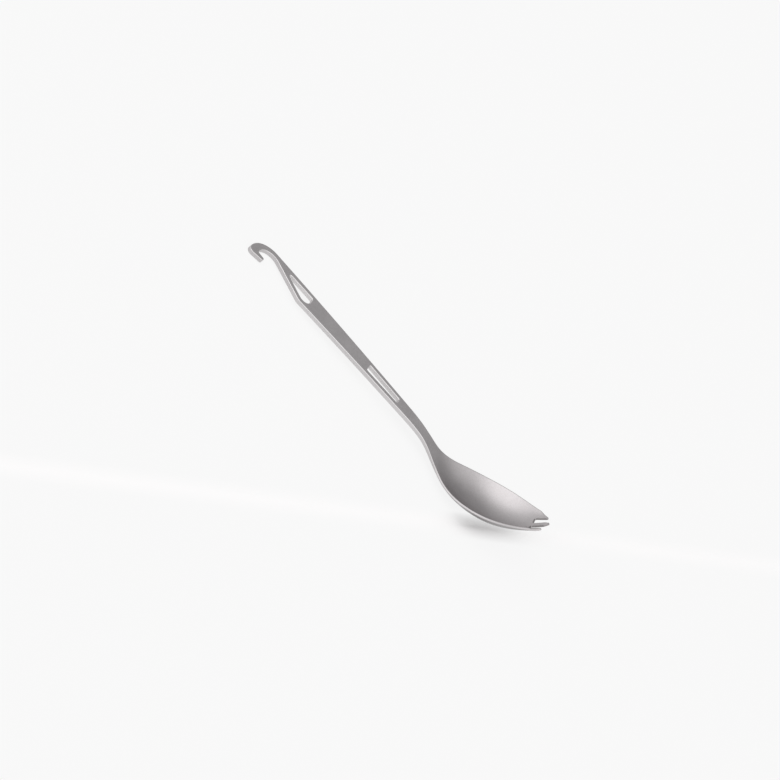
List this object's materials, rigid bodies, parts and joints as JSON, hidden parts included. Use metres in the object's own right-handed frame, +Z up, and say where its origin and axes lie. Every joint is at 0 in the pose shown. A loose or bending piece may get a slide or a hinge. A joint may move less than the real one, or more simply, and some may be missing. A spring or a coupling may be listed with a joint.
{
  "type": "camping spork",
  "caption": "One-piece titanium camping spork: thick flat handle with a pot-lifting crook, tapered and slotted cut-outs, and a pressed bowl ending in tines.",
  "frame": {"origin": "centre of the bounding box in plan, at the level the piece rests on: the bowl's underside and the crook's lower edge lie on z = 0", "axes": "+X along the piece from the crook to the tines, +Y across it, away from the side the crook's lip is on, +Z up from the table, out of the bowl"},
  "size_m": [0.2046, 0.037, 0.0308],
  "materials": {
    "titanium": "bead-blasted satin"
  },
  "bodies": {
    "root": {"spork": "titanium"}
  },
  "joints": []
}
